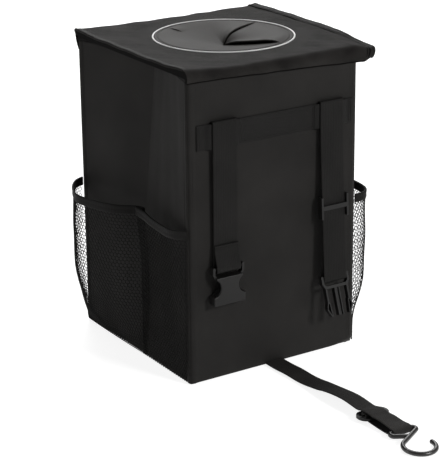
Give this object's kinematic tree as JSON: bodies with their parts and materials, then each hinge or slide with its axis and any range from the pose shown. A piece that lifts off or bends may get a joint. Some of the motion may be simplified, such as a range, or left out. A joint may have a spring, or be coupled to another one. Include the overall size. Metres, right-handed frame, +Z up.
{
  "type": "car trash bin",
  "caption": "Fabric car bin with creased sides, a hinged lid with a cross-cut rubber opening, mesh side pockets, buckled hanging straps and an elastic strap with a wire hook.",
  "frame": {"origin": "middle of the bottom of the fabric box, on the surface that it stands on", "axes": "+Z up; the side with the straps faces -Y; +X to the right of someone who looks at that side"},
  "size_m": [0.2574, 0.469, 0.3188],
  "materials": {
    "shell_fabric": "matte woven",
    "board": "matte",
    "lining": "coated, slightly shiny",
    "binding_tape": "ribbed",
    "mesh": "open net",
    "webbing": "ribbed webbing",
    "elastic": "knitted elastic",
    "closure_tape": "looped pile",
    "rubber": "matte",
    "ring_plastic": "satin",
    "buckle_plastic": "fine moulded grain",
    "hook_wire": "black coated wire"
  },
  "bodies": {
    "bin": {"outer_shell": "shell_fabric", "base_board": "board", "strap_side_board": "board", "front_board": "board", "liner": "lining", "rim_binding": "binding_tape", "hinge_strip": "shell_fabric", "loop_strip": "closure_tape", "pocket_left": "mesh", "pocket_right": "mesh", "pocket_binding_left": "binding_tape", "pocket_binding_right": "binding_tape", "strap_band": "webbing", "socket_strap": "webbing", "plug_strap": "webbing", "floor_strap": "elastic", "floor_slider": "buckle_plastic"},
    "lid": {"lid_cover": "shell_fabric", "lid_board": "board", "lid_binding_left": "binding_tape", "lid_binding_right": "binding_tape", "hook_strip": "closure_tape", "trim_ring": "ring_plastic", "flap_diaphragm": "rubber"},
    "socket": {"buckle_socket": "buckle_plastic"},
    "plug": {"buckle_plug": "buckle_plastic"},
    "adjuster": {"strap_adjuster": "buckle_plastic"},
    "hook": {"hook": "hook_wire"}
  },
  "joints": [
    {"name": "lid_hinge", "type": "hinge", "parent": "bin", "child": "lid", "pos_m": [0, -0.1081, 0.313], "axis": [1, 0, 0], "range_deg": [0, 180]},
    {"name": "socket_swing", "type": "hinge", "parent": "bin", "child": "socket", "pos_m": [-0.06, -0.113, 0.119], "axis": [-1, 0, 0], "range_deg": [0, 90]},
    {"name": "plug_swing", "type": "hinge", "parent": "bin", "child": "plug", "pos_m": [0.066, -0.117, 0.083], "axis": [-1, 0, 0], "range_deg": [-25, 70]},
    {"name": "adjuster_slide", "type": "slide", "parent": "bin", "child": "adjuster", "axis": [0, 0.0613, 0.9981], "range_m": [-0.035, 0.05]},
    {"name": "hook_swing", "type": "hinge", "parent": "bin", "child": "hook", "pos_m": [0.00494, -0.30794, 0.0041], "axis": [-0.9997, -0.0244, 0], "range_deg": [0, 100]}
  ]
}
